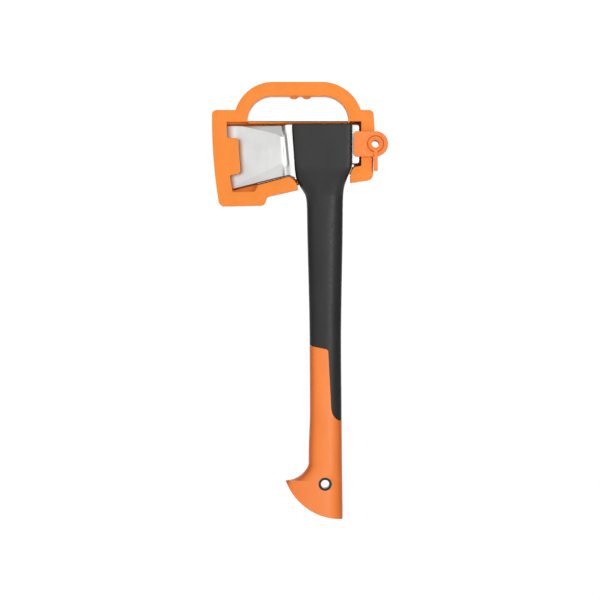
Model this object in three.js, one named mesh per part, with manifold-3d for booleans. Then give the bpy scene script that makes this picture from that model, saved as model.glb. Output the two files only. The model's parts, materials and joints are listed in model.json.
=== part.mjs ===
// A short splitting axe: a forged steel head held in a hollow moulded handle with a soft
// grip. It is packed in its blade guard, an open frame with a grab handle and a turning latch.
// Millimetres. +Z runs up the handle, the blade points to -X and its front cheek faces -Y.
// The origin is the middle of the grab handle's underside, where the packed axe hangs.
import * as THREE from "three";
import { mergeVertices } from "three/addons/utils/BufferGeometryUtils.js";
import Module from "manifold-3d";

const wasm = await Module();
wasm.setup();

// Gaps
const SEAT_GAP = 0.3; // between pieces that touch
const HEAD_GAP = 1.1; // between the head and the guard around it
const RAIL_GAP = 0.6; // between the head and the rail over it
const LEDGE_GAP = 0.45; // between the head or neck and the ledges behind the slots

// Axe
const AXE_LENGTH = 445; // top of the head to the bottom of the knob
const BLADE_REACH = 85; // plastic head to the cutting edge, at the top
const BLADE_DROP = 75; // toe to heel along the cutting edge
const SHOULDER_HALF = 17; // half thickness where the cheeks meet the plastic
const PAD_HALF = 15.5; // half thickness at the end of the flat cheek
const EDGE_HALF = 2.2; // half thickness behind the ground edge
const GRIND = 6; // width of the ground edge
const WEB_HALF = 9; // half thickness of the steel inside the plastic
const POLL_HALF = 12; // half thickness of the hammer poll
const POLL_OUT = 8.5; // how far the poll stands out behind the plastic
const WRAP_LENGTH = 46; // height of the straight part of the plastic head
const CORE_PIN_R = 8; // plastic pin moulded through the steel web
const GRIP_WALL = 2.2; // thickness of the soft grip over the core
const CORE_WALL = 3.4; // wall of the hollow core
const EYELET_R = 7.1; // ring around the lanyard hole
const LANYARD_R = 4.7; // lanyard hole

// Guard
const GUARD_HALF = 15; // half depth of the frame
const BAR_HEIGHT = 15.6; // grab handle's bar
const FINGER_HEIGHT = 28.5; // finger opening
const FINGER_ARC = 28; // round ends of the finger opening
const RAIL_HEIGHT = 2.5; // thin rail between the fingers and the head
const RAIL_HALF = 9; // half depth of the rail
const GUARD_WALL = 3.2; // skin of the grab handle, which is a channel open at the back
const EDGE_WALL = 5; // guard outside the cutting edge
const REAR_LIP = 2.4; // lip behind the poll, which the latch holds the axe against

// Latch
const LATCH_R = 14.3; // round end of the latch plate, which is twice this high
const LATCH_THICK = 4;
const LATCH_CORNER = 5; // rounded corners of the tongue
const LATCH_TONGUE = 24.6; // pivot to the tongue's end
const RING_R = 8.2; // raised ring around the pivot
const RING_RISE = 2.2;
const PIVOT_R = 6; // pivot tube, outside
const PIVOT_HOLE_R = 4.2; // pivot tube, inside
const LEVER_WIDTH = 4.3;
const LEVER_LENGTH = 30.3; // pivot to the lever's end
const LEVER_BACK = 6; // how deep the lever reaches beside the frame
const LEVER_PLAY = 1.9; // gap between the closed lever and its notch in the frame
const EAR_R = 12.2; // frame's ear behind the latch
const SNAP_RING = 1.8; // thickness of the ring that keeps the pivot in

// Places that follow from the sizes
const headTop = -(FINGER_HEIGHT + RAIL_HEIGHT + RAIL_GAP);
const knobBottom = headTop - AXE_LENGTH;
const wrapFront = -9.8;
const wrapBack = 58;
const edgeX = wrapFront - BLADE_REACH;
const heelZ = headTop - 1.5 - BLADE_DROP;
const pollBack = wrapBack + POLL_OUT;
const wrapBottom = headTop - WRAP_LENGTH;
const guardRight = pollBack + HEAD_GAP + 0.6;
const pivot = { x: guardRight + 15.9, z: headTop - 22.7 };
const leverSide = pivot.x - LEVER_WIDTH / 2 + 0.35;
const snapFront = GUARD_HALF - SNAP_RING - 0.6;
const coreEnd = knobBottom + 22;
const eyelet = { x: 27.6, z: knobBottom + 39.5 };

// --- Helpers -------------------------------------------------------------------------

function solid(geometry) {
  const plain = geometry.index ? geometry : geometry.clone();
  plain.deleteAttribute("normal");
  plain.deleteAttribute("uv");
  const merged = mergeVertices(plain, 1e-4);
  return new wasm.Manifold(
    new wasm.Mesh({
      numProp: 3,
      vertProperties: new Float32Array(merged.attributes.position.array),
      triVerts: new Uint32Array(merged.index.array),
    }),
  );
}

function join(...bodies) {
  return bodies.reduce((whole, body) => whole.add(body));
}

function cut(body, ...tools) {
  return tools.reduce((left, tool) => left.subtract(tool), body);
}

// A shape drawn in X and Z, extruded along Y from `front` to `back`.
function plate(shape, front, back, curveSegments = 10) {
  const geometry = new THREE.ExtrudeGeometry(shape, {
    depth: back - front,
    bevelEnabled: false,
    curveSegments,
  });
  geometry.rotateX(Math.PI / 2);
  geometry.translate(0, back, 0);
  return solid(geometry);
}

function outline(points) {
  return new THREE.Shape(points.map(([x, z]) => new THREE.Vector2(x, z)));
}

function block(x0, x1, y0, y1, z0, z1) {
  const geometry = new THREE.BoxGeometry(x1 - x0, y1 - y0, z1 - z0);
  geometry.translate((x0 + x1) / 2, (y0 + y1) / 2, (z0 + z1) / 2);
  return solid(geometry);
}

// A round bar along Y.
function bar(x, z, radius, front, back, sides = 32) {
  const geometry = new THREE.CylinderGeometry(radius, radius, back - front, sides);
  geometry.translate(x, (front + back) / 2, z);
  return solid(geometry);
}

// Everything on the far side of the plane through three points, away from the plane Y = 0,
// as one big block.
function beyond(a, b, c) {
  const plane = new THREE.Plane().setFromCoplanarPoints(a, b, c);
  if (plane.normal.y * a.y < 0) plane.negate();
  const size = 160;
  const geometry = new THREE.BoxGeometry(size, size, size);
  geometry.translate(0, 0, size / 2);
  geometry.applyQuaternion(
    new THREE.Quaternion().setFromUnitVectors(new THREE.Vector3(0, 0, 1), plane.normal),
  );
  const foot = plane.projectPoint(a.clone().lerp(b, 0.5), new THREE.Vector3());
  geometry.translate(foot.x, foot.y, foot.z);
  return solid(geometry);
}

// Skins a stack of rings that have the same number of points, from the top down.
function loft(rings) {
  const count = rings[0].length;
  const positions = rings.flat(2);
  const index = [];
  const last = rings.length - 1;
  for (let r = 0; r < last; r++) {
    for (let i = 0; i < count; i++) {
      const j = (i + 1) % count;
      const [a, b] = [r * count + i, r * count + j];
      const [c, d] = [a + count, b + count];
      index.push(a, c, b, b, c, d);
    }
  }
  for (const [ring, flip] of [
    [0, false],
    [last, true],
  ]) {
    const centre = positions.length / 3;
    const points = rings[ring];
    positions.push(
      ...[0, 1, 2].map((k) => points.reduce((sum, p) => sum + p[k], 0) / count),
    );
    for (let i = 0; i < count; i++) {
      const [a, b] = [ring * count + i, ring * count + ((i + 1) % count)];
      index.push(centre, flip ? b : a, flip ? a : b);
    }
  }
  const geometry = new THREE.BufferGeometry();
  geometry.setAttribute("position", new THREE.Float32BufferAttribute(positions, 3));
  geometry.setIndex(index);
  return solid(geometry);
}

// --- Handle form -----------------------------------------------------------------------

// Stations down the handle: height, front edge, back edge, half depth and squareness.
const stations = [
  [headTop, wrapFront, wrapBack, SHOULDER_HALF, 14],
  [wrapBottom, -7, wrapBack, SHOULDER_HALF, 12],
  [wrapBottom - 15, -5, 52.5, 15.6, 5.5],
  [wrapBottom - 26.5, 0.8, 49.1, 14.3, 4],
  [wrapBottom - 35, 5.5, 48.3, 13.5, 3],
  [wrapBottom - 44, 6.8, 48, 13.2, 2.8],
  [wrapBottom - 74, 7.4, 47.7, 13, 2.5],
  [(wrapBottom + knobBottom) / 2, 10.1, 45.9, 12.8, 2.4],
  [knobBottom + 122, 10.5, 46.4, 13.2, 2.4],
  [knobBottom + 74, 9.1, 46.7, 13.6, 2.4],
  [knobBottom, 8.9, 47.4, 15, 2.8],
];

// Row k of the stations at a height, eased between its neighbours.
function form(z, k) {
  let n = 1;
  while (n < stations.length - 1 && z < stations[n][0]) n++;
  const [before, from, to, after] = [-2, -1, 0, 1].map(
    (step) => stations[Math.min(Math.max(n + step, 0), stations.length - 1)],
  );
  const span = to[0] - from[0];
  const slope = (a, b) => (a[0] === b[0] ? 0 : (b[k] - a[k]) / (b[0] - a[0]));
  const soft = (a, b) => (a * b > 0 ? (2 * a * b) / (a + b) : 0);
  const middle = slope(from, to);
  const [m0, m1] = [soft(slope(before, from), middle), soft(middle, slope(to, after))];
  const t = Math.min(Math.max((z - from[0]) / span, 0), 1);
  const [t2, t3] = [t * t, t * t * t];
  return (
    (2 * t3 - 3 * t2 + 1) * from[k] +
    (t3 - 2 * t2 + t) * span * m0 +
    (3 * t2 - 2 * t3) * to[k] +
    (t3 - t2) * span * m1
  );
}

// The knob's hook sweeps forward on an arc and ends level with its tip.
const HOOK = { x: -17.2, z: knobBottom + 71.5, r: 28.2 };
const hookTip = -16;

function frontEdge(z, hooked) {
  const shaft = form(z, 1);
  if (!hooked || z > HOOK.z) return shaft;
  const drop = HOOK.z - z;
  const reach = drop < HOOK.r ? Math.sqrt(HOOK.r ** 2 - drop ** 2) : 0;
  return Math.min(shaft, Math.max(HOOK.x + reach, hookTip - 2));
}

function section(z, inset, hooked, count = 32) {
  const [low, high] = [frontEdge(z, hooked) + inset, form(z, 2) - inset];
  const [half, square] = [form(z, 3) - inset, form(z, 4)];
  return Array.from({ length: count }, (_, i) => {
    const turn = (2 * Math.PI * i) / count;
    const [c, s] = [Math.cos(turn), Math.sin(turn)];
    const bend = (v) => Math.sign(v) * Math.abs(v) ** (2 / square);
    return [(low + high) / 2 + ((high - low) / 2) * bend(c), half * bend(s), z];
  });
}

// The handle's form between two heights, shrunk by `inset` all round.
function handleForm(top, bottom, inset, hooked) {
  const heights = stations.map((s) => s[0]).concat(coreEnd);
  for (const drop of [6, 12, 20]) heights.push(wrapBottom - drop);
  if (hooked)
    for (const turn of [25, 40, 52, 62, 70, 78, 84, 90])
      heights.push(HOOK.z - HOOK.r * Math.sin((turn * Math.PI) / 180));
  const kept = heights.filter((z) => z < top - 1 && z > bottom + 1).concat(top, bottom);
  kept.sort((a, b) => b - a);
  return loft(kept.map((z) => section(z, inset, hooked)));
}

// Everything above the round bottom of the knob.
function aboveKnob(inset) {
  const [x, z, r] = [45.7, knobBottom + 66.9, 66.9 - inset];
  const shape = new THREE.Shape();
  shape.moveTo(x - r, 0);
  shape.lineTo(x - r, z);
  shape.absarc(x, z, r, Math.PI, 2 * Math.PI);
  shape.lineTo(x + r, 0);
  return plate(shape, -40, 40, 32);
}

// The soft grip's area: its top edge, the step down beside the bare back panel, and all below.
function gripArea(gap) {
  const [top, panelEnd] = [knobBottom + 195.6 - gap, knobBottom + 110 - gap];
  const shape = new THREE.Shape();
  shape.moveTo(-60, top);
  shape.lineTo(9.8, top);
  shape.lineTo(28.6 - gap, top - 3.9);
  shape.quadraticCurveTo(31.3 - gap, top - 4.4, 31.5 - gap, top - 7.4);
  shape.lineTo(34.7 - gap, panelEnd + 16);
  shape.quadraticCurveTo(35.6 - gap, panelEnd + 3, 47 - gap, panelEnd);
  shape.lineTo(90, panelEnd - 6);
  shape.lineTo(90, knobBottom - 40);
  shape.lineTo(-60, knobBottom - 40);
  return plate(shape, -40, 40);
}

// --- Axe -------------------------------------------------------------------------------

// Half thickness of the head from the cutting edge back, as outline points for one cheek.
const padEnd = wrapFront - 12.2;
const collarFront = wrapFront - 5.6;
const wedge = [
  [edgeX, 0.25],
  [edgeX + GRIND, EDGE_HALF],
  [padEnd, PAD_HALF],
  [collarFront, SHOULDER_HALF],
  [wrapFront + 4.2, SHOULDER_HALF],
];

const edgeBow = { x: edgeX + 588, z: headTop - 1.5 + 8, r: 588 };

function bladeOutline(grow) {
  const toe = headTop - 1.3 + grow;
  const heel = heelZ - grow;
  const shape = new THREE.Shape();
  const bowAngle = (z) => Math.PI + Math.asin((edgeBow.z - z) / edgeBow.r);
  shape.moveTo(wrapFront - 0.4, headTop - 0.6 + grow);
  shape.lineTo(collarFront - 1, headTop - 0.6 + grow);
  shape.lineTo(collarFront - 2.6, toe);
  shape.absarc(edgeBow.x, edgeBow.z, edgeBow.r + grow, bowAngle(toe), bowAngle(heel));
  shape.lineTo(wrapFront - 3.6, headTop - 57.6 - grow);
  shape.lineTo(wrapFront + 3.9, headTop - 61 - grow);
  shape.lineTo(wrapFront + 2.6, headTop - 46);
  return shape;
}

function mirrored(points) {
  return points.concat(points.map(([x, y]) => [x, -y]).reverse());
}

// The wedge seen from above, as a column over the blade's whole height.
function wedgeColumn(points) {
  const geometry = new THREE.ExtrudeGeometry(outline(mirrored(points).reverse()), {
    depth: 2 * BLADE_DROP,
    bevelEnabled: false,
  });
  geometry.translate(0, 0, headTop - 1.5 * BLADE_DROP);
  return solid(geometry);
}

function padHalf(x) {
  return EDGE_HALF + ((PAD_HALF - EDGE_HALF) * (x - edgeX - GRIND)) / (padEnd - edgeX - GRIND);
}

// The bevel along the top of the flat cheek, and the one under its rear corner.
function bevels(side) {
  const spot = (x, drop, fall = 0) =>
    new THREE.Vector3(x, side * (padHalf(x) - fall), headTop - drop);
  return [
    beyond(spot(edgeX + 23, 3.2), spot(padEnd - 4, 12.8), spot(padEnd, 2.4, 5)),
    beyond(spot(padEnd + 1, 45), spot(padEnd - 14, 53), spot(padEnd + 4, 57, 5)),
  ];
}

// The long scoop between the flat cheek and the collar.
function scoop(side) {
  const geometry = new THREE.SphereGeometry(1, 20, 14);
  geometry.scale(2.3, 3.6, 23);
  geometry.rotateY((-6.5 * Math.PI) / 180);
  geometry.translate(padEnd + 6.6, side * (SHOULDER_HALF + 0.4), headTop - 31.7);
  return solid(geometry);
}

function webPlate(grow) {
  const [top, bottom] = [headTop - 6 + grow, wrapBottom + 4 - grow];
  return block(wrapFront - 4, wrapBack + 4, -WEB_HALF - grow, WEB_HALF + grow, bottom, top);
}

const corePin = { x: (wrapFront + wrapBack) / 2, z: (headTop + wrapBottom) / 2 };

function makeHead() {
  const blade = wedgeColumn(wedge).intersect(plate(bladeOutline(0), -40, 40, 24));
  const cheeks = [-1, 1].flatMap((side) => [...bevels(side), scoop(side)]);
  const shape = new THREE.Shape();
  const [low, high] = [wrapBottom + 1, headTop - 0.4];
  const [left, right, r] = [wrapBack + SEAT_GAP, pollBack, 4];
  shape.moveTo(left, low);
  shape.lineTo(right - r, low);
  shape.quadraticCurveTo(right, low, right, low + r);
  shape.lineTo(right, high - r);
  shape.quadraticCurveTo(right, high, right - r, high);
  shape.lineTo(left, high);
  const poll = plate(shape, -POLL_HALF, POLL_HALF, 6);
  return cut(
    join(cut(blade, ...cheeks), webPlate(0), poll),
    bar(corePin.x, corePin.z, CORE_PIN_R + SEAT_GAP, -30, 30),
  );
}

function makeCore() {
  const outer = handleForm(headTop, knobBottom + 60, 0, false);
  const inner = handleForm(headTop - 100, coreEnd, GRIP_WALL, false);
  const hollow = handleForm(wrapBottom - 40, coreEnd - 5, GRIP_WALL + CORE_WALL, false);
  const boss = bar(eyelet.x, eyelet.z, EYELET_R, 0.6 - form(eyelet.z, 3), form(eyelet.z, 3) - 0.6);
  const collarSeat = plate(bladeOutline(SEAT_GAP), -40, 40, 24);
  return cut(
    join(
      cut(outer, gripArea(0)),
      cut(inner, hollow),
      boss.intersect(handleForm(headTop - 100, knobBottom + 8, 0, false)),
    ).subtract(hollow.subtract(boss)),
    collarSeat,
    cut(webPlate(SEAT_GAP), bar(corePin.x, corePin.z, CORE_PIN_R, -30, 30)),
    bar(eyelet.x, eyelet.z, LANYARD_R, -30, 30),
  );
}

function makePlug() {
  return handleForm(coreEnd + 7, coreEnd + SEAT_GAP, GRIP_WALL + CORE_WALL + SEAT_GAP, false);
}

function makeGrip() {
  const outer = handleForm(knobBottom + 200, knobBottom, 0, true).intersect(aboveKnob(0));
  const core = handleForm(knobBottom + 205, coreEnd - SEAT_GAP, GRIP_WALL - SEAT_GAP, false);
  return cut(
    outer.intersect(gripArea(SEAT_GAP)),
    core,
    bar(eyelet.x, eyelet.z, EYELET_R + SEAT_GAP, -30, 30),
  );
}

// --- Guard -----------------------------------------------------------------------------

const shoulderZ = headTop + 15.7;
const guardLeft = edgeX - EDGE_WALL;
const guardBottom = heelZ - 16;
const armTip = { x: -2.9, z: heelZ + 2.6 };
const hookTipZ = wrapBottom - 19.7;
const guardOuter = pivot.x - 1.2;

function guardOutline() {
  const bow = { x: edgeBow.x, z: edgeBow.z, r: edgeBow.r + EDGE_WALL };
  const corner = 6;
  const end = Math.asin((bow.z - guardBottom - corner) / bow.r);
  const cornerX = bow.x - bow.r * Math.cos(end);
  const shoulderArc = (x, z) => ({ x, z, r: BAR_HEIGHT - z });
  const rightArc = shoulderArc(23.7, headTop + 0.7);
  const leftArc = shoulderArc(-31, headTop + 3.2);
  const meet = (arc) => Math.asin((shoulderZ - arc.z) / arc.r);
  const shape = new THREE.Shape();
  shape.moveTo(guardLeft + corner, shoulderZ);
  shape.quadraticCurveTo(guardLeft, shoulderZ, guardLeft, shoulderZ - corner);
  shape.absarc(bow.x, bow.z, bow.r, Math.PI, Math.PI + end);
  shape.quadraticCurveTo(cornerX + 0.8, guardBottom, cornerX + 0.8 + corner, guardBottom);
  shape.lineTo(-45.5, guardBottom + 0.9);
  shape.quadraticCurveTo(-41, guardBottom + 0.9, -39.6, guardBottom + 5);
  shape.lineTo(-38, guardBottom + 9.6);
  shape.quadraticCurveTo(-37.3, guardBottom + 10.8, -35, guardBottom + 11.3);
  shape.lineTo(armTip.x, armTip.z);
  shape.lineTo(wrapBack - 0.4, hookTipZ);
  shape.lineTo(guardOuter - 7.5, hookTipZ + 2.6);
  shape.quadraticCurveTo(guardOuter - 1.4, hookTipZ + 3.4, guardOuter - 1.2, hookTipZ + 9.5);
  shape.lineTo(guardOuter + 0.3, shoulderZ - 20);
  shape.lineTo(guardOuter - 0.6, shoulderZ - corner);
  shape.quadraticCurveTo(guardOuter - 0.8, shoulderZ, guardOuter - 0.8 - corner, shoulderZ);
  shape.absarc(rightArc.x, rightArc.z, rightArc.r, meet(rightArc), Math.PI / 2);
  shape.absarc(leftArc.x, leftArc.z, leftArc.r, Math.PI / 2, Math.PI - meet(leftArc));
  return shape;
}

const fingerR = Math.min(FINGER_ARC, FINGER_HEIGHT - 0.4);

function fingerOutline() {
  const [left, right] = [-32, 26];
  const shape = new THREE.Shape();
  shape.moveTo(left - fingerR, -FINGER_HEIGHT);
  shape.absarc(left, -fingerR, fingerR, Math.PI, Math.PI / 2, true);
  shape.absarc(right, -fingerR, fingerR, Math.PI / 2, 0, true);
  shape.lineTo(right + fingerR, -FINGER_HEIGHT);
  return shape;
}

// The opening that the head and the neck pass through, down past the frame's mouth.
function throatOutline() {
  const top = headTop + RAIL_GAP;
  const shape = new THREE.Shape();
  shape.moveTo(-48.5, top);
  shape.lineTo(-48.5, heelZ + 7.4);
  shape.lineTo(wrapFront - 3.4, headTop - 59.4);
  shape.quadraticCurveTo(wrapFront, headTop - 60, -5, headTop - 66.5);
  shape.lineTo(armTip.x, armTip.z + 2.5);
  shape.lineTo(armTip.x + 2, guardBottom - 5);
  shape.lineTo(wrapBack - 1, guardBottom - 5);
  shape.lineTo(wrapBack - 2.1, wrapBottom - 12.4);
  shape.quadraticCurveTo(wrapBack - 0.4, wrapBottom - 2.4, wrapBack + 5, wrapBottom - 2);
  shape.lineTo(guardRight, wrapBottom - 1.2);
  shape.lineTo(guardRight, top + 2.2);
  shape.lineTo(wrapBack - 2.6, top + 2.2);
  shape.lineTo(wrapBack - 3.6, top);
  return shape;
}

// The front window: notches at the toe and the heel, with the tab between them.
function frontWindow() {
  const top = headTop + RAIL_GAP;
  return outline([
    [-48, top],
    [-58.6, top],
    [-59.6, top + 1.6],
    [edgeX + 11.5, top + 1.6],
    [edgeX + 12.3, headTop - 14.6],
    [edgeX + 13.6, headTop - 16],
    [edgeX + 22.8, headTop - 16],
    [edgeX + 24.7, headTop - 18.4],
    [edgeX + 27.2, headTop - 53],
    [edgeX + 26, headTop - 55.6],
    [edgeX + 23.2, headTop - 56.4],
    [edgeX + 15.2, headTop - 58.4],
    [edgeX + 18.4, heelZ],
    [-54.1, heelZ + 0.2],
    [-50.4, heelZ + 2],
    [-48, heelZ + 8],
  ]);
}

// The back window is the other way round: open behind the tab, closed behind the notches.
function backWindow() {
  return outline([
    [-47, headTop - 15],
    [edgeX + 12, headTop - 15],
    [edgeX + 15.6, headTop - 61],
    [-47, headTop - 61],
  ]);
}

// The channel behind the grab handle's skin, crossed by ribs.
function barChannel() {
  const rim = GUARD_WALL;
  const outerR = BAR_HEIGHT + fingerR - rim;
  const innerR = fingerR + rim;
  const shape = new THREE.Shape();
  shape.absarc(-31.5, -fingerR, outerR, Math.PI - 0.42, Math.PI / 2, true);
  shape.absarc(25, -fingerR, outerR, Math.PI / 2, 0.42, true);
  shape.absarc(25, -fingerR, innerR, 0.5, Math.PI / 2);
  shape.absarc(-31.5, -fingerR, innerR, Math.PI / 2, Math.PI - 0.5);
  const ribs = [-58, -31, -10, 10, 31, 51].map((x) =>
    block(x - 1, x + 1, -GUARD_HALF, GUARD_HALF, -30, BAR_HEIGHT),
  );
  return cut(plate(shape, GUARD_WALL - GUARD_HALF, GUARD_HALF + 1), ...ribs);
}

// The two finger stops under the bar.
function fingerStop(x) {
  const geometry = new THREE.SphereGeometry(1, 16, 12);
  geometry.scale(5.6, GUARD_HALF - 3, 3.6);
  geometry.translate(x, 0, 0.4);
  return solid(geometry);
}

// Ledges deep in the slots over and under the blade, which close them from behind.
function slotLedges() {
  const under = outline([
    [-49.5, heelZ + 4],
    [-49.5, heelZ + 14],
    [wrapFront - 4, headTop - 54],
    [wrapFront + 4, headTop - 56],
    [armTip.x + 1, headTop - 68],
    [armTip.x - 4, headTop - 70],
  ]);
  const over = block(-49.5, wrapFront - 6, 1, RAIL_HALF - 0.1, headTop - 4, headTop + 1.2);
  return cut(
    join(plate(under, 2, 12), over),
    plate(bladeOutline(LEDGE_GAP), -40, 40, 24),
    handleForm(headTop, wrapBottom - 40, -LEDGE_GAP, false),
    block(wrapFront + 3, wrapFront + 6, -40, 40, headTop - 61 - LEDGE_GAP, headTop - 50),
  );
}

function makeGuard() {
  const body = cut(
    plate(guardOutline(), -GUARD_HALF, GUARD_HALF, 14),
    plate(fingerOutline(), -GUARD_HALF - 1, GUARD_HALF + 1, 14),
    plate(throatOutline(), -GUARD_HALF - 1, GUARD_HALF + 1),
    plate(frontWindow(), -GUARD_HALF - 1, 0),
    plate(backWindow(), 0, GUARD_HALF + 1),
    barChannel(),
  );
  const grown = wedge.map(([x, half]) => [x - HEAD_GAP, half + HEAD_GAP]);
  grown.push([wrapFront + 8, SHOULDER_HALF + HEAD_GAP]);
  const pocket = wedgeColumn(grown).intersect(plate(bladeOutline(HEAD_GAP), -40, 40, 24));
  const railTrim = (front, back) => block(-59.5, 53.2, front, back, headTop, -FINGER_HEIGHT + 0.01);
  const ear = bar(pivot.x, pivot.z, EAR_R, -GUARD_HALF, GUARD_HALF);
  const rearLip = block(
    guardRight - 8,
    guardRight + 2,
    GUARD_HALF - REAR_LIP,
    GUARD_HALF,
    wrapBottom - 2.2,
    headTop + 4,
  );
  const leverNotch = block(
    leverSide - LEVER_PLAY,
    leverSide + LEVER_WIDTH,
    -GUARD_HALF - 1,
    LEVER_BACK - GUARD_HALF + LEVER_PLAY,
    pivot.z - LEVER_LENGTH - 1,
    pivot.z - LATCH_R - 0.4,
  );
  const recesses = [
    leverNotch,
    bar(pivot.x, pivot.z, PIVOT_R + SEAT_GAP, -GUARD_HALF - 1, GUARD_HALF + 1),
    bar(pivot.x, pivot.z, RING_R + SEAT_GAP, snapFront - SEAT_GAP, GUARD_HALF + 1),
  ];
  return cut(
    join(
      cut(
        body,
        pocket,
        railTrim(-GUARD_HALF - 1, -RAIL_HALF),
        railTrim(RAIL_HALF, GUARD_HALF + 1),
      ),
      fingerStop(-7.5),
      fingerStop(6.9),
      ear,
      rearLip,
      slotLedges(),
    ),
    ...recesses,
  );
}

// --- Latch -----------------------------------------------------------------------------

const plateFront = -GUARD_HALF - SEAT_GAP - LATCH_THICK;

function makeLatchPlate() {
  const left = pivot.x - LATCH_TONGUE;
  const [low, high, r] = [pivot.z - LATCH_R, pivot.z + LATCH_R, LATCH_CORNER];
  const shape = new THREE.Shape();
  shape.moveTo(left + r, low);
  shape.absarc(pivot.x, pivot.z, LATCH_R, -Math.PI / 2, Math.PI / 2);
  shape.lineTo(left + r, high);
  shape.absarc(left + r, high - r, r, Math.PI / 2, Math.PI);
  shape.absarc(left + r, low + r, r, Math.PI, 1.5 * Math.PI);
  return cut(
    plate(shape, plateFront, plateFront + LATCH_THICK, 16),
    bar(pivot.x, pivot.z, PIVOT_R + SEAT_GAP, -40, 40),
  );
}

// The raised ring and finger lever, with the hollow pivot behind them.
function makeLatchLever() {
  const [back, front] = [plateFront - SEAT_GAP, plateFront - SEAT_GAP - RING_RISE];
  const end = pivot.z - LEVER_LENGTH;
  const stem = block(leverSide, leverSide + LEVER_WIDTH, front, back, end, pivot.z);
  const foot = block(
    leverSide,
    leverSide + LEVER_WIDTH,
    front,
    LEVER_BACK - GUARD_HALF,
    end,
    pivot.z - LATCH_R - 1,
  );
  return cut(
    join(
      bar(pivot.x, pivot.z, RING_R, front, back),
      bar(pivot.x, pivot.z, PIVOT_R, front, snapFront + SNAP_RING),
      stem,
      foot,
    ),
    bar(pivot.x, pivot.z, PIVOT_HOLE_R, -40, 40),
  );
}

// The snap ring that keeps the pivot in the ear.
function makeSnapRing() {
  return cut(
    bar(pivot.x, pivot.z, RING_R, snapFront, snapFront + SNAP_RING),
    bar(pivot.x, pivot.z, PIVOT_R + SEAT_GAP, -40, 40),
  );
}

// --- Assembly --------------------------------------------------------------------------

const orange = { color: 0xf08a2c, roughness: 0.55, metalness: 0 };
const steel = { color: 0xd8d9d6, roughness: 0.35, metalness: 1 };
const black = { color: 0x36363a, roughness: 0.6, metalness: 0 };
const latchOrange = { color: 0xf28a3c, roughness: 0.5, metalness: 0 };

function piece(name, body, finish) {
  const made = body.getMesh();
  const geometry = new THREE.BufferGeometry();
  geometry.setAttribute("position", new THREE.BufferAttribute(made.vertProperties, 3));
  geometry.setIndex(new THREE.BufferAttribute(made.triVerts, 1));
  geometry.computeVertexNormals();
  const mesh = new THREE.Mesh(geometry, new THREE.MeshStandardMaterial(finish));
  mesh.name = name;
  return mesh;
}

const axe = new THREE.Group();
axe.add(
  piece("axe_head", makeHead(), steel),
  piece("handle_core", makeCore(), black),
  piece("core_end_plug", makePlug(), black),
  piece("grip_overmould", makeGrip(), orange),
);

const latch = new THREE.Group();
latch.add(
  piece("latch_plate", makeLatchPlate(), latchOrange),
  piece("latch_lever", makeLatchLever(), latchOrange),
  piece("latch_snap_ring", makeSnapRing(), black),
);

const packedAxe = new THREE.Group();
packedAxe.add(axe, piece("guard_frame", makeGuard(), orange), latch);

export default packedAxe;
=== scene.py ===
# A short splitting axe packed in its orange blade guard, hung by the guard's grab handle.
# The modelling code works in millimetres, and MM turns them into Blender's metres.
# X runs from the blade to the poll, Y into the depth, Z up the handle, as in the frame.
import json
import math
from contextlib import contextmanager

import bmesh
import bpy
import numpy as np
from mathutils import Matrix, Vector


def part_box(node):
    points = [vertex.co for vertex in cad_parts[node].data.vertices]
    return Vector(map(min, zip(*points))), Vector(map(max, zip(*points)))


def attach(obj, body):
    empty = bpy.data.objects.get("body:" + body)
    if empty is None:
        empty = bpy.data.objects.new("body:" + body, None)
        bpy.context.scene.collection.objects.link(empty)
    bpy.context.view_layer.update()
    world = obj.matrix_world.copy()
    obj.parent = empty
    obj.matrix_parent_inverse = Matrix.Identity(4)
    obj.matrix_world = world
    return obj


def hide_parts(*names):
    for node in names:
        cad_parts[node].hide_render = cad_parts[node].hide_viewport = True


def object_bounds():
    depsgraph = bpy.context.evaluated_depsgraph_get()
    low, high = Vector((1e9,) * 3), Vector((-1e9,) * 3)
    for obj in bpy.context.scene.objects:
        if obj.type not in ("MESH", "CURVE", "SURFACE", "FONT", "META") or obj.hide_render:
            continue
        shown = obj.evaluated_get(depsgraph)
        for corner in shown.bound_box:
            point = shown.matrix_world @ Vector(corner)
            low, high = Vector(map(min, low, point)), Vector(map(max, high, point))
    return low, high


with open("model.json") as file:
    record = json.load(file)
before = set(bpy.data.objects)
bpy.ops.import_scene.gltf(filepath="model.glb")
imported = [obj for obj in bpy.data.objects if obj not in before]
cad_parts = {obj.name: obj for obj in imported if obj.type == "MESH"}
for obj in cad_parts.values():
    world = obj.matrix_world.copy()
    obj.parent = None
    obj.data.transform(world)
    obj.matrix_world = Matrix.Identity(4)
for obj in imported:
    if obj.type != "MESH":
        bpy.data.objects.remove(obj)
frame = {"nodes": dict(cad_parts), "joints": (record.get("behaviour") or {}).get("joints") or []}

cad_low, cad_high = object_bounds()
scene = bpy.context.scene
MM = 0.001
# How far cutters reach to the front and back, out of every piece: outlines, then holes.
FAR, THROUGH = 40, 30


def node_box(name):
    return [[value / MM for value in corner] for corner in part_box(name)]


# --- Places taken from the frame -------------------------------------------------------
core_low, core_high = node_box("handle_core")
head_low, head_high = node_box("axe_head")
grip_low = node_box("grip_overmould")[0]
guard_low, guard_high = node_box("guard_frame")
plate_low, plate_high = node_box("latch_plate")
lever_low, lever_high = node_box("latch_lever")
snap_low, snap_high = node_box("latch_snap_ring")
hinge = [value / MM for value in frame["joints"][0]["pos_m"]]

WRAP_HEIGHT, BLADE_REACH = 46, 85
LEVER_WIDTH = 4.3

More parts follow.
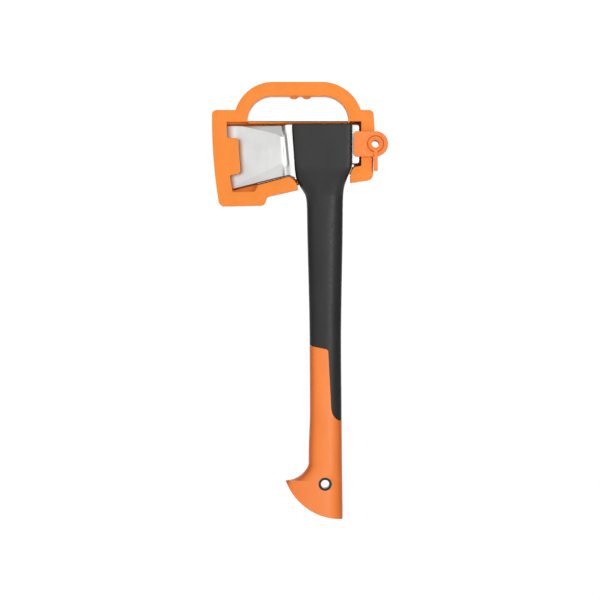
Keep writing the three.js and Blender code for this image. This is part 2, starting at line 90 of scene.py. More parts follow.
head_top = core_high[2]
wrap_front, wrap_back = core_low[0], core_high[0]
wrap_bottom = head_top - WRAP_HEIGHT
shoulder_half = core_high[1]
knob_bottom = grip_low[2]
core_end = core_low[2]
heel_z = head_low[2]
edge_x = wrap_front - BLADE_REACH
poll_back = head_high[0]
poll_half = 12
guard_half = guard_high[1]
guard_left, guard_bottom = guard_low[0], guard_low[2]
guard_right = poll_back + 1.7
bar_top = guard_high[2]
finger_height = 28.5
finger_arc = 28
finger_r = min(finger_arc, finger_height - 0.4)
head_gap = 1.1
rail_gap = 0.6
ledge_gap = 0.45
seat_gap = 0.3
pivot_x, pivot_z = hinge[0], hinge[2]
lever_left = pivot_x - 1.8
lever_right = lever_left + LEVER_WIDTH
shoulder_z = head_top + 15.7
hook_tip_z = wrap_bottom - 19.7
guard_outer = pivot_x - 1.2
arm_tip = (-2.9, heel_z + 2.6)
eyelet_x, eyelet_z = 27.6, knob_bottom + 39.5
eyelet_r, lanyard_r = 7.1, 4.7
grip_wall, core_wall = 2.2, 3.4
web_half, pin_r = 9, 8
pivot_r, pivot_hole_r = 6, 4.2
pivot_bore_r = 6.3
ring_r, ring_bore_r, ear_r = 8.2, 8.5, 12.2


# --- Mesh helpers ----------------------------------------------------------------------
def new_object(name, vertices, faces):
    mesh = bpy.data.meshes.new(name)
    mesh.from_pydata([tuple(c * MM for c in v) for v in vertices], [], faces)
    mesh.validate()
    obj = bpy.data.objects.new(name, mesh)
    scene.collection.objects.link(obj)
    return obj


class Outline:
    """A closed outline in X and Z, made of lines, curves and arcs."""

    def __init__(self, x, z):
        self.points = [(x, z)]

    def line(self, x, z):
        self.points.append((x, z))
        return self

    def curve(self, bend_x, bend_z, x, z, steps=8):
        x0, z0 = self.points[-1]
        for i in range(1, steps + 1):
            t = i / steps
            a, b, c = (1 - t) ** 2, 2 * t * (1 - t), t * t
            self.line(a * x0 + b * bend_x + c * x, a * z0 + b * bend_z + c * z)
        return self

    def arc(self, x, z, radius, start, end, step=math.radians(4)):
        count = max(2, math.ceil(abs(end - start) / step))
        for i in range(count + 1):
            turn = start + (end - start) * i / count
            self.line(x + radius * math.cos(turn), z + radius * math.sin(turn))
        return self

    def clean(self):
        kept = []
        for p in self.points:
            if not kept or math.dist(p, kept[-1]) > 0.02:
                kept.append(p)
        if math.dist(kept[0], kept[-1]) < 0.02:
            kept.pop()
        return kept


def between(near, far, name):
    """A solid between two loops of points that match one to one."""
    count = len(near)
    faces = [tuple(range(count)), tuple(range(2 * count - 1, count - 1, -1))]
    for i in range(count):
        j = (i + 1) % count
        faces.append((j, i, i + count, j + count))
    return new_object(name, near + far, faces)


def prism(outline, front, back, name="prism"):
    points = outline.clean() if isinstance(outline, Outline) else outline
    area = sum(
        a[0] * b[1] - b[0] * a[1] for a, b in zip(points, points[1:] + points[:1])
    )
    if area < 0:
        points = points[::-1]
    near, far = ([(x, y, z) for x, z in points] for y in (front, back))
    return between(near, far, name)


def block(x0, x1, y0, y1, z0, z1):
    return prism([(x0, z0), (x1, z0), (x1, z1), (x0, z1)], y0, y1)


def bar(x, z, radius, front, back, name="bar"):
    outline = Outline(x + radius, z).arc(x, z, radius, 0, 2 * math.pi, math.radians(5))
    return prism(outline, front, back, name)


def ellipsoid(centre, radii):
    bm = bmesh.new()
    bmesh.ops.create_uvsphere(bm, u_segments=48, v_segments=32, radius=1)
    points = [[centre[k] + v.co[k] * radii[k] for k in range(3)] for v in bm.verts]
    faces = [tuple(v.index for v in face.verts) for face in bm.faces]
    bm.free()
    return new_object("ellipsoid", points, faces)


def settle(obj):
    """Applies the modifiers to the mesh."""
    depsgraph = bpy.context.evaluated_depsgraph_get()
    mesh = bpy.data.meshes.new_from_object(obj.evaluated_get(depsgraph))
    obj.modifiers.clear()
    obj.data = mesh
    return obj


def boolean(obj, tools, operation):
    for tool in tools:
        modifier = obj.modifiers.new("boolean", "BOOLEAN")
        modifier.object = tool
        modifier.operation = operation
        modifier.solver = "EXACT"
    settle(obj)
    for tool in tools:
        bpy.data.objects.remove(tool)
    return obj


def cut(obj, *tools):
    return boolean(obj, tools, "DIFFERENCE")


def join(obj, *tools):
    return boolean(obj, tools, "UNION")


def common(obj, *tools):
    return boolean(obj, tools, "INTERSECT")


@contextmanager
def editing(obj):
    """Opens the object's mesh for bmesh operators and writes it back."""
    bm = bmesh.new()
    bm.from_mesh(obj.data)
    yield bm
    bm.to_mesh(obj.data)
    bm.free()


def drop_folds(bm):
    """Deletes faces that lie folded on each other, over the same points."""
    sharing = {}
    for face in bm.faces:
        sharing.setdefault(frozenset(face.verts), []).append(face)
    folded = [face for faces in sharing.values() if len(faces) > 1 for face in faces]
    bmesh.ops.delete(bm, geom=folded, context="FACES")


def tidy_mesh(obj, merge=0.02):
    """Welds near points, then drops folded slivers: two faces over the same points."""
    with editing(obj) as bm:
        bmesh.ops.remove_doubles(bm, verts=bm.verts, dist=merge * MM)
        bmesh.ops.dissolve_degenerate(bm, edges=bm.edges, dist=0.2 * merge * MM)
        drop_folds(bm)


def soften(obj, width, segments=3, angle=35):
    """Rounds the sharp edges."""
    modifier = obj.modifiers.new("round", "BEVEL")
    modifier.width = width * MM
    modifier.segments = segments
    modifier.limit_method = "ANGLE"
    modifier.angle_limit = math.radians(angle)
    modifier.use_clamp_overlap = False
    modifier.miter_outer = "MITER_ARC"
    return settle(obj)


def shade(obj, angle=28):
    """Clean triangles with smooth shading, broken at edges sharper than the angle."""
    weld = 0.002
    with editing(obj) as bm:
        bmesh.ops.remove_doubles(bm, verts=bm.verts, dist=weld * MM)
        bmesh.ops.triangulate(bm, faces=bm.faces)
        drop_folds(bm)
        for face in bm.faces:
            face.smooth = True
        for edge in bm.edges:
            joined = len(edge.link_faces) == 2
            edge.smooth = joined and edge.calc_face_angle(0) <= math.radians(angle)
    return obj


# --- Materials -------------------------------------------------------------------------
def new_material(name, roughness, metallic=0.0, specular=0.5):
    material = bpy.data.materials.new(name)
    material.use_nodes = True
    shader = material.node_tree.nodes["Principled BSDF"]
    shader.inputs["Roughness"].default_value = roughness
    shader.inputs["Metallic"].default_value = metallic
    shader.inputs["Specular IOR Level"].default_value = specular
    return material, material.node_tree, shader


def coordinates(tree, kind):
    return tree.nodes.new("ShaderNodeTexCoord").outputs[kind]


def noise(tree, scale, detail=3.0, stretch=(1, 1, 1)):
    """Noise over the object's own coordinates; scale counts per metre."""
    mapping = tree.nodes.new("ShaderNodeMapping")
    mapping.inputs["Scale"].default_value = stretch
    texture = tree.nodes.new("ShaderNodeTexNoise")
    texture.inputs["Scale"].default_value = scale
    texture.inputs["Detail"].default_value = detail
    tree.links.new(coordinates(tree, "Object"), mapping.inputs["Vector"])
    tree.links.new(mapping.outputs["Vector"], texture.inputs["Vector"])
    return texture.outputs["Fac"]


def vary_colour(tree, shader, fac, dark, light, low=0.35, high=0.65):
    ramp = tree.nodes.new("ShaderNodeValToRGB")
    ramp.color_ramp.elements[0].position = low
    ramp.color_ramp.elements[0].color = (*dark, 1)
    ramp.color_ramp.elements[1].position = high
    ramp.color_ramp.elements[1].color = (*light, 1)
    tree.links.new(fac, ramp.inputs["Fac"])
    tree.links.new(ramp.outputs["Color"], shader.inputs["Base Color"])


def vary_roughness(tree, shader, fac, low, high):
    spread = tree.nodes.new("ShaderNodeMapRange")
    spread.inputs["From Min"].default_value = 0.3
    spread.inputs["From Max"].default_value = 0.7
    spread.inputs["To Min"].default_value = low
    spread.inputs["To Max"].default_value = high
    tree.links.new(fac, spread.inputs["Value"])
    tree.links.new(spread.outputs["Result"], shader.inputs["Roughness"])


def add_bump(tree, shader, fac, height, strength=1.0):
    bump = tree.nodes.new("ShaderNodeBump")
    bump.inputs["Strength"].default_value = strength
    bump.inputs["Distance"].default_value = height * MM
    previous = shader.inputs["Normal"].links
    if previous:
        tree.links.new(previous[0].from_socket, bump.inputs["Normal"])
    tree.links.new(fac, bump.inputs["Height"])
    tree.links.new(bump.outputs["Normal"], shader.inputs["Normal"])


def moulded_plastic(name, dark, light, roughness, grain, specular=0.5, coarse=60):
    """Injection-moulded plastic: slow colour drift, fine spark-eroded grain, flow marks."""
    material, tree, shader = new_material(name, roughness, 0.0, specular)
    drift = noise(tree, coarse, 4.0, (1, 1, 0.35))
    vary_colour(tree, shader, drift, dark, light)
    vary_roughness(tree, shader, noise(tree, 240, 4.0), roughness - 0.05, roughness + 0.05)
    add_bump(tree, shader, noise(tree, 2600, 2.0), grain)
    add_bump(tree, shader, noise(tree, 90, 2.0, (1, 1, 0.3)), 0.03)
    return material


def blend_colour(tree, shader, where, start, end, colour):
    """Blends the base colour into another while a value goes from start to end."""
    fade = tree.nodes.new("ShaderNodeMapRange")
    fade.interpolation_type = "SMOOTHSTEP"
    fade.inputs["From Min"].default_value = start
    fade.inputs["From Max"].default_value = end
    mix = tree.nodes.new("ShaderNodeMix")
    mix.data_type = "RGBA"
    first, second = [socket for socket in mix.inputs if socket.type == "RGBA"][:2]
    result = [socket for socket in mix.outputs if socket.type == "RGBA"][0]
    second.default_value = (*colour, 1)
    tree.links.new(where, fade.inputs["Value"])
    tree.links.new(fade.outputs["Result"], mix.inputs["Factor"])
    tree.links.new(shader.inputs["Base Color"].links[0].from_socket, first)
    tree.links.new(result, shader.inputs["Base Color"])


def ground_steel(name):
    """Forged steel, ground along X and clear lacquered; the edge is ground brighter."""
    material, tree, shader = new_material(name, 0.38, 1.0, 0.5)
    cloud = noise(tree, 45, 4.0)
    vary_colour(tree, shader, cloud, (0.50, 0.502, 0.494), (0.55, 0.552, 0.544))
    split = tree.nodes.new("ShaderNodeSeparateXYZ")
    tree.links.new(coordinates(tree, "Object"), split.inputs["Vector"])
    start, end = (edge_x + 26) * MM, (edge_x + 20) * MM
    blend_colour(tree, shader, split.outputs["X"], start, end, (0.60, 0.60, 0.592))
    grinding = noise(tree, 700, 3.0, (1, 1, 0.06))
    vary_roughness(tree, shader, grinding, 0.34, 0.44)
    add_bump(tree, shader, grinding, 0.006)
    return material


def paint_edge_shade(material, edge_shade_colour):
    """Painted shade: a deeper, redder colour where the surface turns to the handle's front and
    back edges, standing in for the shade there.
    """
    tree = material.node_tree
    shader = tree.nodes["Principled BSDF"]
    split = tree.nodes.new("ShaderNodeSeparateXYZ")
    size = tree.nodes.new("ShaderNodeMath")
    size.operation = "ABSOLUTE"
    tree.links.new(coordinates(tree, "Normal"), split.inputs["Vector"])
    tree.links.new(split.outputs["Y"], size.inputs[0])
    # Painted shade: the colour darkens and reddens as the normal turns away from the depth axis.
    blend_colour(tree, shader, size.outputs["Value"], 1.0, 0.58, edge_shade_colour)


guard_orange = moulded_plastic(
    "guard_orange", (0.80, 0.206, 0.006), (0.84, 0.222, 0.009), 0.50, 0.010, 0.4
)
latch_orange = moulded_plastic(
    "latch_orange", (0.82, 0.200, 0.022), (0.86, 0.216, 0.028), 0.48, 0.010, 0.4
)
grip_orange = moulded_plastic(
    "grip_orange", (0.82, 0.180, 0.005), (0.86, 0.200, 0.008), 0.38, 0.010, 0.60
)
# Painted shade on the grip: its front and back edges get a darker, redder colour where the
# surface turns away.
paint_edge_shade(grip_orange, (0.60, 0.105, 0.006))
core_black = moulded_plastic(
    "core_black", (0.017, 0.017, 0.0167), (0.021, 0.021, 0.0207), 0.32, 0.006, 0.21
)
snap_black = moulded_plastic(
    "snap_black", (0.022, 0.022, 0.022), (0.030, 0.030, 0.030), 0.35, 0.006
)
head_steel = ground_steel("head_steel")


def finish_piece(obj, name, material, body, slot, *replaced):
    obj.name = name
    obj.data.name = name
    obj.data.materials.clear()
    obj.data.materials.append(material)
    for polygon in obj.data.polygons:
        polygon.material_index = 0
    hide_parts(*replaced)
    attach(obj, body)


# --- Handle form -----------------------------------------------------------------------
# Stations down the handle: height, front edge, back edge, half depth and squareness.
STATIONS = [
    (head_top, wrap_front, wrap_back, shoulder_half, 14),
    (wrap_bottom, -7, wrap_back, shoulder_half, 12),
    (wrap_bottom - 15, -5, 52.5, 15.6, 5.5),
    (wrap_bottom - 26.5, 0.8, 49.1, 14.3, 4),
    (wrap_bottom - 35, 5.5, 48.3, 13.5, 3),
    (wrap_bottom - 44, 6.8, 48, 13.2, 2.8),
    (wrap_bottom - 74, 7.4, 47.7, 13, 2.5),
    ((wrap_bottom + knob_bottom) / 2, 10.1, 45.9, 12.8, 2.4),
    (knob_bottom + 122, 10.5, 46.4, 13.2, 2.4),
    (knob_bottom + 74, 9.1, 46.7, 13.6, 2.4),
    (knob_bottom, 8.9, 47.4, 15, 2.8),
]
HOOK_X, HOOK_Z, HOOK_R = -17.2, knob_bottom + 71.5, 28.2
HOOK_TIP = -18


def form(z, column):
    """A column of the stations at a height, eased between its neighbours."""
    last = len(STATIONS) - 1
    n = 1
    while n < last and z < STATIONS[n][0]:
        n += 1
    before, start, end, after = (
        STATIONS[min(max(n + step, 0), last)] for step in (-2, -1, 0, 1)
    )

    def slope(a, b):
        return 0.0 if a[0] == b[0] else (b[column] - a[column]) / (b[0] - a[0])

    def soft(a, b):
        return 2 * a * b / (a + b) if a * b > 0 else 0.0

    span = end[0] - start[0]
    middle = slope(start, end)
    m0, m1 = soft(slope(before, start), middle), soft(middle, slope(end, after))
    t = min(max((z - start[0]) / span, 0), 1)
    t2, t3 = t * t, t * t * t
    return (
        (2 * t3 - 3 * t2 + 1) * start[column]
        + (t3 - 2 * t2 + t) * span * m0
        + (3 * t2 - 2 * t3) * end[column]
        + (t3 - t2) * span * m1
    )


def front_edge(z, hooked):
    shaft = form(z, 1)
    if not hooked or z > HOOK_Z:
        return shaft
    drop = HOOK_Z - z
    reach = math.sqrt(HOOK_R**2 - drop**2) if drop < HOOK_R else 0.0
    hook = max(HOOK_X + reach, HOOK_TIP)
    blend = 1.2
    mix = min(max(0.5 + 0.5 * (shaft - hook) / blend, 0), 1)
    return shaft + (hook - shaft) * mix - blend * mix * (1 - mix) * 0.5


def section(z, inset, hooked, count):
    low, high = front_edge(z, hooked) + inset, form(z, 2) - inset
    half, square = form(z, 3) - inset, form(z, 4)
    ring = []
    for i in range(count):
        turn = 2 * math.pi * i / count
        c, s = math.cos(turn), math.sin(turn)
        bend_c = math.copysign(abs(c) ** (2 / square), c)
        bend_s = math.copysign(abs(s) ** (2 / square), s)
        ring.append(((low + high) / 2 + (high - low) / 2 * bend_c, half * bend_s, z))
    return ring


def handle_form(top, bottom, inset, hooked=False, count=96, step=2.0, rim=0.0):
    """The handle's form between two heights, shrunk by inset, with a rounded top rim."""
    heights = list(np.arange(top - rim, bottom, -step)) + [bottom]
    if hooked:
        heights = [z for z in heights if z > HOOK_Z or z < HOOK_Z - HOOK_R - 1]
        heights += [HOOK_Z - HOOK_R * math.sin(math.radians(a)) for a in range(2, 91, 2)]
    heights.sort(reverse=True)
    kept = [heights[0]]
    for z in heights[1:]:
        if kept[-1] - z > 0.02:
            kept.append(z)
    rings = []
    if rim:
        for i in range(4):
            turn = math.radians(90 * i / 4)
            shrink = rim * (1 - math.sin(turn))
            ring = section(top - rim, inset + shrink, hooked, count)
            rings.append([(x, y, top - rim + rim * math.cos(turn)) for x, y, _ in ring])
    rings += [section(z, inset, hooked, count) for z in kept]
    vertices = [p for ring in rings for p in ring]
    faces = []
    for r in range(len(rings) - 1):
        for i in range(count):
            j = (i + 1) % count
            a, b = r * count + i, r * count + j
            faces.append((a, a + count, b + count, b))
    faces.append(tuple(range(count)))
    faces.append(tuple(range(len(vertices) - 1, len(vertices) - count - 1, -1)))
    return new_object("form", vertices, faces)


def knob_solid():
    """Everything above the round bottom of the knob."""
    x, z, r = 45.7, knob_bottom + 66.9, 66.9
    outline = Outline(x - r, 0).line(x - r, z)
    outline.arc(x, z, r, math.pi, 1.5 * math.pi, math.radians(1.5))
    outline.line(wrap_back, knob_bottom).line(wrap_back, 0)
    return prism(outline, -FAR, FAR)


def grip_area(gap):
    """The soft grip's area: its top edge, the step down beside the bare back, all below."""
    top, panel_end = knob_bottom + 195.6 - gap, knob_bottom + 110 - gap
    outline = Outline(-60, top).line(9.8, top).line(28.6 - gap, top - 3.9)
    outline.curve(31.3 - gap, top - 4.4, 31.5 - gap, top - 7.4)
    outline.line(34.7 - gap, panel_end + 16)
    outline.curve(35.6 - gap, panel_end + 3, 47 - gap, panel_end, 12)
    outline.line(90, panel_end - 6).line(90, knob_bottom - 40).line(-60, knob_bottom - 40)
    return prism(outline, -FAR, FAR)


def web_plate(grow):
    x0, x1 = wrap_front - 4, wrap_back + 4
    z0, z1 = wrap_bottom + 4 - grow, head_top - 6 + grow
    return block(x0, x1, -web_half - grow, web_half + grow, z0, z1)


pin_x, pin_z = (wrap_front + wrap_back) / 2, (head_top + wrap_bottom) / 2


# --- Handle core -----------------------------------------------------------------------
def make_core():
    core = cut(handle_form(head_top, knob_bottom + 60, 0, rim=0.9), grip_area(0))
    inner = handle_form(head_top - 100, core_end, grip_wall, count=48, step=6)
    hollow = handle_form(
        wrap_bottom - 40, core_end - 5, grip_wall + core_wall, count=40, step=8
    )
    half = form(eyelet_z, 3)
    boss = bar(eyelet_x, eyelet_z, eyelet_r, 0.5 - half, half - 0.5)
    seat = cut(web_plate(seat_gap), bar(pin_x, pin_z, pin_r, -THROUGH, THROUGH))
    join(core, inner)
    cut(core, hollow)
    join(core, boss)
    cut(core, seat, bar(eyelet_x, eyelet_z, lanyard_r, -THROUGH, THROUGH))
    tidy_mesh(core)
    return shade(core)


core = make_core()
finish_piece(
    core, "handle_core_body", core_black, "axe_in_guard", "core_plastic", "handle_core"
)


# --- Grip ------------------------------------------------------------------------------
def make_grip():
    grip = handle_form(knob_bottom + 200, knob_bottom - 2, -0.12, hooked=True)
    common(grip, knob_solid())
    common(grip, grip_area(seat_gap))
    inner = handle_form(
        knob_bottom + 205, core_end - seat_gap, grip_wall - seat_gap, count=48, step=6
    )
    cut(grip, inner)
    cut(grip, bar(eyelet_x, eyelet_z, eyelet_r + seat_gap, -THROUGH, THROUGH))
    tidy_mesh(grip, 0.05)
    return shade(grip)


grip = make_grip()
finish_piece(
    grip, "soft_grip", grip_orange, "axe_in_guard", "grip_rubber", "grip_overmould"
)


# --- Steel head ------------------------------------------------------------------------
PAD_END = wrap_front - 12.2
PAD_HALF = 15.3
EDGE_HALF = 2.2
GRIND = 6
BOW_R = 588
BOW_X = edge_x + BOW_R
BOW_Z = head_top + 6.5
SCOOP_X, SCOOP_Z, SCOOP_HALF = wrap_front - 5.4, head_top - 28.4, 21.5
SCOOP_LEAN = -0.1


def ease(t):
    t = np.clip(t, 0, 1)
    return t * t * (3 - 2 * t)


def soft_min(a, b, radius):
    mix = np.clip(0.5 + 0.5 * (b - a) / radius, 0, 1)
    return b * (1 - mix) + a * mix - radius * mix * (1 - mix)


def soft_ramp(value, radius):
    """Nothing below zero, the value above it, with a soft bend between."""
    bend = 0.5 * radius * np.exp(-np.abs(value) / radius)
    return 0.5 * (value + np.sqrt(value**2 + radius**2)) - bend


def edge_at(z):
    """The ground edge's X at a height."""
    return BOW_X - np.sqrt(BOW_R**2 - (z - BOW_Z) ** 2)


def below_line(x, z, ax, az, bx, bz):
    """Signed distance of points from a line, positive on its lower side."""
    length = math.hypot(bx - ax, bz - az)
    return ((x - ax) * (bz - az) - (z - az) * (bx - ax)) / length


def cheek_half(x, z):
    """Half thickness of the head: ground edge, flat cheek, its bevels, scoop and collar."""
    reach = x - edge_at(z)
    grind = 0.3 + (EDGE_HALF + 0.1 - 0.3) * reach / GRIND
    slope = (PAD_HALF - EDGE_HALF) / (PAD_END - edge_x - GRIND)
    pad = EDGE_HALF + slope * (x - edge_x - GRIND)
    half = soft_min(grind, pad, 0.25)
    above = -below_line(x, z, edge_x + 26, head_top - 1.8, PAD_END - 3, head_top - 12.4)
    corner = ease((x - (PAD_END - 9)) / 12) * 3.2
    fade = 1 - ease((x - (PAD_END + 1)) / 5)
    half = half - 0.38 * soft_ramp(above + 0.55 * corner, 1.2) * fade
    low = below_line(x, z, PAD_END - 40, head_top - 63.5, PAD_END + 2, head_top - 43.5)
    half = half - 0.16 * soft_ramp(low, 2.0) * fade
    half = soft_min(half, np.full_like(half, PAD_HALF + 0.25), 0.5)
    along = (z - SCOOP_Z) / SCOOP_HALF
    lens = np.clip(1 - along**2, 0, 1)
    line = SCOOP_X + SCOOP_LEAN * (z - SCOOP_Z)
    groove = ease(1 - np.abs(x - (line - 2.2)) / 4.6)
    half = half - 1.1 * lens * groove
    wide = 1.7 + 2.6 * (1 - ease(lens * 2.2))
    rise = ease((x - (line - wide)) / (wide + 1.7))
    return half * (1 - rise) + shoulder_half * rise


def spread(points, fine):
    """Values between 0 and 1 whose spacing follows the density in fine."""
    weights = np.interp(np.linspace(0, 1, 400), fine[0], fine[1])
    total = np.concatenate([[0], np.cumsum((weights[1:] + weights[:-1]) / 2)])
    return np.interp(np.linspace(0, total[-1], points), total, np.linspace(0, 1, 400))


def make_blade():
    """The blade's two cheeks over a grid, closed round the outline."""
    across = spread(150, ([0, 0.06, 0.1, 0.72, 0.8, 1], [4, 4, 1.2, 1.2, 5, 5]))
    down = spread(130, ([0, 0.03, 0.08, 0.92, 0.97, 1], [6, 4, 1, 1, 4, 6]))
    toe, heel = head_top - 1.3, heel_z
    top = Outline(edge_at(toe), toe).line(wrap_front - 8.2, toe)
    top.curve(wrap_front - 7.4, toe, wrap_front - 6.6, head_top - 0.75)
    top.line(wrap_front - 0.4, head_top - 0.6)
    low = Outline(edge_at(heel), heel).line(wrap_front - 3.6, head_top - 57.6)
    low.line(wrap_front + 3.9, head_top - 61)
    top_x, top_z = np.array(top.points).T
    low_x, low_z = np.array(low.points).T
    tx = top_x[0] + (top_x[-1] - top_x[0]) * across
    bx = low_x[0] + (low_x[-1] - low_x[0]) * across
    tz, bz = np.interp(tx, top_x, top_z), np.interp(bx, low_x, low_z)
    x = tx[None, :] * (1 - down[:, None]) + bx[None, :] * down[:, None]
    z = tz[None, :] * (1 - down[:, None]) + bz[None, :] * down[:, None]
    bow = edge_at(z[:, 0]) - x[:, 0]
    x = x + bow[:, None] * (1 - across[None, :])
    half = cheek_half(x, z)
    depth = np.minimum(tz[None, :] - z, z - bz[None, :])
    round_r = np.minimum(1.0, 0.8 * half)
    inside = np.clip(1 - depth / round_r, 0, 1)
    half = half - round_r * (1 - np.sqrt(1 - inside**2))
    half = np.maximum(half, 0.2)
    rows, columns = x.shape
    front = np.stack([x, -half, z], -1).reshape(-1, 3)
    back = np.stack([x, half, z], -1).reshape(-1, 3)
    shift = rows * columns
    faces = []
    for r in range(rows - 1):
        for c in range(columns - 1):
            a, b = r * columns + c, r * columns + c + 1
            d, e = a + columns, b + columns
            faces.append((a, d, e, b))
            faces.append((a + shift, b + shift, e + shift, d + shift))
    border = (
        [(0, c) for c in range(columns - 1)]
        + [(r, columns - 1) for r in range(rows - 1)]
        + [(rows - 1, c) for c in range(columns - 1, 0, -1)]
        + [(r, 0) for r in range(rows - 1, 0, -1)]
    )
    ids = [r * columns + c for r, c in border]
    for a, b in zip(ids, ids[1:] + ids[:1]):
        faces.append((a, b, b + shift, a + shift))
    return new_object("blade", np.concatenate([front, back]).tolist(), faces)


def make_poll():
    low, high = wrap_bottom + 1, head_top - 0.4
    left, right, r = wrap_back - 3, poll_back, 4
    outline = Outline(left, low).line(right - r, low).curve(right, low, right, low + r)
    outline.line(right, high - r).curve(right, high, right - r, high).line(left, high)
    poll = soften(prism(outline, -poll_half, poll_half), 1.2, 4)
    return cut(poll, block(left - 5, wrap_back + seat_gap, -20, 20, low - 5, high + 5))


def make_head():
    head = join(make_blade(), web_plate(0), make_poll())
    cut(head, bar(pin_x, pin_z, pin_r + seat_gap, -THROUGH, THROUGH))
    tidy_mesh(head)
    return shade(head, 32)


head = make_head()
finish_piece(head, "steel_head", head_steel, "axe_in_guard", "head_steel", "axe_head")


# --- Guard -----------------------------------------------------------------------------
def guard_outline():
    bow_r = BOW_R + 5
    corner = 6
    end = math.asin((BOW_Z - guard_bottom - corner) / bow_r)
    corner_x = BOW_X - bow_r * math.cos(end)
    right_x, right_z, left_x, left_z = 23.7, head_top + 0.7, -31, head_top + 3.2
    right_r, left_r = bar_top - right_z, bar_top - left_z
    right_meet = math.asin((shoulder_z - right_z) / right_r)
    left_meet = math.asin((shoulder_z - left_z) / left_r)
    o = Outline(guard_left + corner, shoulder_z)
    o.curve(guard_left, shoulder_z, guard_left, shoulder_z - corner)
    o.arc(BOW_X, BOW_Z, bow_r, math.pi, math.pi + end, math.radians(0.5))
    o.curve(corner_x + 0.8, guard_bottom, corner_x + 0.8 + corner, guard_bottom)
    o.line(-45.5, guard_bottom + 0.9)
    o.curve(-41, guard_bottom + 0.9, -39.6, guard_bottom + 5)
    o.line(-38, guard_bottom + 9.6)
    o.curve(-37.3, guard_bottom + 10.8, -35, guard_bottom + 11.3)
    o.line(*arm_tip)
    o.line(wrap_back - 0.4, hook_tip_z)
    o.line(guard_outer - 7.5, hook_tip_z + 2.6)
    o.curve(guard_outer - 1.4, hook_tip_z + 3.4, guard_outer - 1.2, hook_tip_z + 9.5)
    o.line(guard_outer + 0.3, shoulder_z - 20)
    o.line(guard_outer - 0.6, shoulder_z - corner)
    o.curve(guard_outer - 0.8, shoulder_z, guard_outer - 0.8 - corner, shoulder_z)
    o.arc(right_x, right_z, right_r, right_meet, math.pi / 2, math.radians(2.5))
    o.arc(left_x, left_z, left_r, math.pi / 2, math.pi - left_meet, math.radians(2.5))
    return o


def finger_outline():
    left, right, r = -32, 26, finger_r
    o = Outline(left - r, -finger_height)
    o.arc(left, -r, r, math.pi, math.pi / 2, math.radians(3))
    o.arc(right, -r, r, math.pi / 2, 0, math.radians(3))
    return o.line(right + r, -finger_height)


def throat_outline():
    top = head_top + rail_gap
    o = Outline(-48.5, top).line(-48.5, heel_z + 7.4)
    o.line(wrap_front - 3.4, head_top - 59.4)
    o.curve(wrap_front, head_top - 60, -5, head_top - 66.5, 10)
    o.line(arm_tip[0], arm_tip[1] + 2.5)
    o.line(arm_tip[0] + 2, guard_bottom - 5).line(wrap_back - 1, guard_bottom - 5)
    o.line(wrap_back - 2.1, wrap_bottom - 12.4)
    o.curve(wrap_back - 0.4, wrap_bottom - 2.4, wrap_back + 5, wrap_bottom - 2, 10)
    o.line(guard_right, wrap_bottom - 1.2).line(guard_right, top + 2.2)
    return o.line(wrap_back - 2.6, top + 2.2).line(wrap_back - 3.6, top)


def front_window():
    top = head_top + rail_gap
    o = Outline(-48, top).line(-58.6, top).line(-59.6, top + 1.6)
    o.line(edge_x + 11.5, top + 1.6).line(edge_x + 12.1, head_top - 14.2)
    o.curve(edge_x + 12.3, head_top - 16, edge_x + 14, head_top - 16, 5)
    o.line(edge_x + 21.8, head_top - 16)
    o.curve(edge_x + 24.4, head_top - 16.2, edge_x + 24.8, head_top - 19)
    o.line(edge_x + 27.2, head_top - 52.6)
    o.curve(edge_x + 27.2, head_top - 55.4, edge_x + 23.2, head_top - 56.4)
    o.line(edge_x + 16.2, head_top - 58)
    o.curve(edge_x + 15.2, head_top - 58.3, edge_x + 15.4, head_top - 59.3, 5)
    o.line(edge_x + 18.4, heel_z).line(-54.1, heel_z + 0.2)
    o.curve(-50.9, heel_z + 0.8, -50.2, heel_z + 3)
    return o.line(-48, heel_z + 8)


def back_window():
    return Outline(-47, head_top - 15).line(edge_x + 12, head_top - 15).line(
        edge_x + 15.6, head_top - 61
    ).line(-47, head_top - 61)


def bar_channel():
    """The channel behind the grab handle's skin, left open between its cross ribs."""
    left, right, low, rim = -31.5, 25, -finger_r, 3.2
    outer, inner = bar_top + finger_r - rim, finger_r + rim
    outer_end, inner_end = 0.42, 0.5
    fine = math.radians(3)
    o = Outline(left - outer * math.cos(outer_end), low + outer * math.sin(outer_end))
    o.arc(left, low, outer, math.pi - outer_end, math.pi / 2, fine)
    o.arc(right, low, outer, math.pi / 2, outer_end, fine)
    o.arc(right, low, inner, inner_end, math.pi / 2, fine)
    o.arc(left, low, inner, math.pi / 2, math.pi - inner_end, fine)
    channel = prism(o, rim - guard_half, guard_half + 1)
    ribs = [
        block(x - 1, x + 1, -guard_half, guard_half + 2, -30, bar_top + 1)
        for x in (-58, -31, -10, 10, 31, 51)
    ]
    return cut(channel, *ribs)


